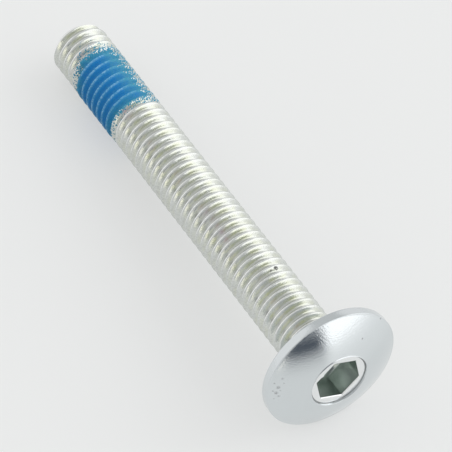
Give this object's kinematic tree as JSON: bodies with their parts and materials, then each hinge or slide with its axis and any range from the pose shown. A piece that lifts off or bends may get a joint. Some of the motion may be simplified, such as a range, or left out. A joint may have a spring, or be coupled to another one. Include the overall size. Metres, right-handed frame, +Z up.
{
  "type": "machine screw",
  "caption": "Machine screw with a wide low domed head, a hexagon socket, a full-length thread and a blue dry locking patch near its point; zinc-plated steel, lying at rest.",
  "frame": {"origin": "on the surface that the screw lies on, under the middle of its box", "axes": "+X along the screw towards its point, which dips a little, because the head rim and the point both touch the surface; +Z up"},
  "size_m": [0.0524, 0.0138, 0.0139],
  "materials": {
    "zinc_steel": "satin",
    "blue_coat": "matt"
  },
  "bodies": {
    "root": {"screw": "zinc_steel", "locking_patch": "blue_coat"}
  },
  "joints": []
}
